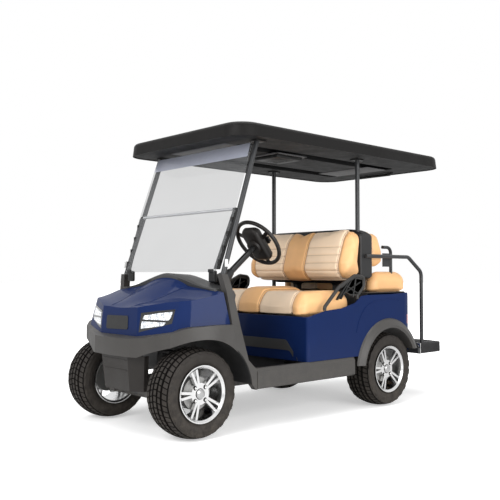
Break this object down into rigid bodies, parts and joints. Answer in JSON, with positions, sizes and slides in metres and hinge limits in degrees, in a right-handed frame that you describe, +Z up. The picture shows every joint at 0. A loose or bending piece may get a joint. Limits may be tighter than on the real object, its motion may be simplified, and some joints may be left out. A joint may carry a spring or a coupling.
{
  "type": "golf cart",
  "caption": "Four-seat electric golf cart with a long canopy, tilted windscreen, alloy wheels, back-to-back bench seats and a rear foot step.",
  "frame": {"origin": "on the ground under the middle of the cart's box", "axes": "+X forward, +Y the cart's left, +Z up"},
  "size_m": [2.692, 1.2406, 1.8669],
  "materials": {
    "navy_paint": "gloss",
    "charcoal_plastic": "satin, fine grain",
    "canopy_plastic": "satin, fine grain",
    "liner_plastic": "matte",
    "black_plastic": "satin",
    "tube_paint": "satin powder coat",
    "frame_metal": "satin",
    "alloy": "machined, clear coat",
    "tyre_rubber": "matte",
    "mat_rubber": "matte, ribbed",
    "acrylic": "clear",
    "lamp_clear": "clear lens",
    "lamp_red": "gloss",
    "seat_vinyl": "soft grain",
    "steel": "satin",
    "battery_case": "matte",
    "cable_sheath": "satin"
  },
  "bodies": {
    "chassis": {"chassis_frame": "frame_metal", "floor_pan": "charcoal_plastic", "floor_mat": "mat_rubber", "front_fascia": "charcoal_plastic", "hood": "navy_paint", "headlights": "lamp_clear", "chin_cowl": "charcoal_plastic", "arch_liners": "black_plastic", "pillar_covers": "charcoal_plastic", "dash": "charcoal_plastic", "steering_column": "tube_paint", "pedals": "black_plastic", "windscreen_lower": "acrylic", "windscreen_upper": "acrylic", "screen_rails": "black_plastic", "front_struts": "tube_paint", "rear_struts": "tube_paint", "canopy": "canopy_plastic", "canopy_liner": "liner_plastic", "rear_body": "navy_paint", "tail_lights": "lamp_red", "rear_flares": "charcoal_plastic", "seat_deck": "black_plastic", "battery_pack": "battery_case", "front_backrest": "seat_vinyl", "back_shell": "black_plastic", "rear_backrest": "seat_vinyl", "rear_cushion": "seat_vinyl", "front_armrests": "tube_paint", "rear_armrests": "tube_paint", "handrails": "tube_paint", "step_frame": "tube_paint", "step_tread": "black_plastic", "front_suspension": "frame_metal", "rear_axle": "frame_metal", "rear_springs": "steel", "brake_cables": "cable_sheath"},
    "front_seat": {"front_cushion": "seat_vinyl"},
    "steering_wheel": {"steering_wheel": "black_plastic"},
    "knuckle_left": {"knuckle_left": "frame_metal"},
    "knuckle_right": {"knuckle_right": "frame_metal"},
    "tie_rod": {"tie_rod": "steel"},
    "wheel_front_left": {"tyre_front_left": "tyre_rubber", "rim_front_left": "alloy"},
    "wheel_front_right": {"tyre_front_right": "tyre_rubber", "rim_front_right": "alloy"},
    "wheel_rear_left": {"tyre_rear_left": "tyre_rubber", "rim_rear_left": "alloy"},
    "wheel_rear_right": {"tyre_rear_right": "tyre_rubber", "rim_rear_right": "alloy"}
  },
  "joints": [
    {"name": "steer_left", "type": "hinge", "parent": "chassis", "child": "knuckle_left", "pos_m": [1.08, 0.395, 0.26], "axis": [0, 0, 1], "range_deg": [-25, 25]},
    {"name": "steer_right", "type": "hinge", "parent": "chassis", "child": "knuckle_right", "pos_m": [1.08, -0.395, 0.26], "axis": [0, 0, 1], "range_deg": [-25, 25]},
    {"name": "tie_rod_slide", "type": "slide", "parent": "chassis", "child": "tie_rod", "axis": [0, 1, 0], "range_m": [-0.036, 0.036]},
    {"name": "wheel_steer", "type": "hinge", "parent": "chassis", "child": "steering_wheel", "pos_m": [0.422, 0.3, 1.138], "axis": [-0.7815, 0, 0.6239], "range_deg": [-226, 226]},
    {"name": "seat_tip", "type": "hinge", "parent": "chassis", "child": "front_seat", "pos_m": [-0.254, 0, 0.6613], "axis": [0, -1, 0], "range_deg": [0, 35]},
    {"name": "spin_front_left", "type": "hinge", "parent": "knuckle_left", "child": "wheel_front_left", "pos_m": [1.08, 0.445, 0.26], "axis": [0, 1, 0], "continuous": true},
    {"name": "spin_front_right", "type": "hinge", "parent": "knuckle_right", "child": "wheel_front_right", "pos_m": [1.08, -0.445, 0.26], "axis": [0, 1, 0], "continuous": true},
    {"name": "spin_rear_left", "type": "hinge", "parent": "chassis", "child": "wheel_rear_left", "pos_m": [-0.584, 0.495, 0.26], "axis": [0, 1, 0], "continuous": true},
    {"name": "spin_rear_right", "type": "hinge", "parent": "chassis", "child": "wheel_rear_right", "pos_m": [-0.584, -0.495, 0.26], "axis": [0, 1, 0], "continuous": true}
  ],
  "couplings": [
    {"joint": "steer_right", "follows": "steer_left", "ratio": 1},
    {"joint": "tie_rod_slide", "follows": "steer_left", "m_per_rad": -0.08},
    {"joint": "wheel_steer", "follows": "steer_left", "ratio": 9}
  ]
}
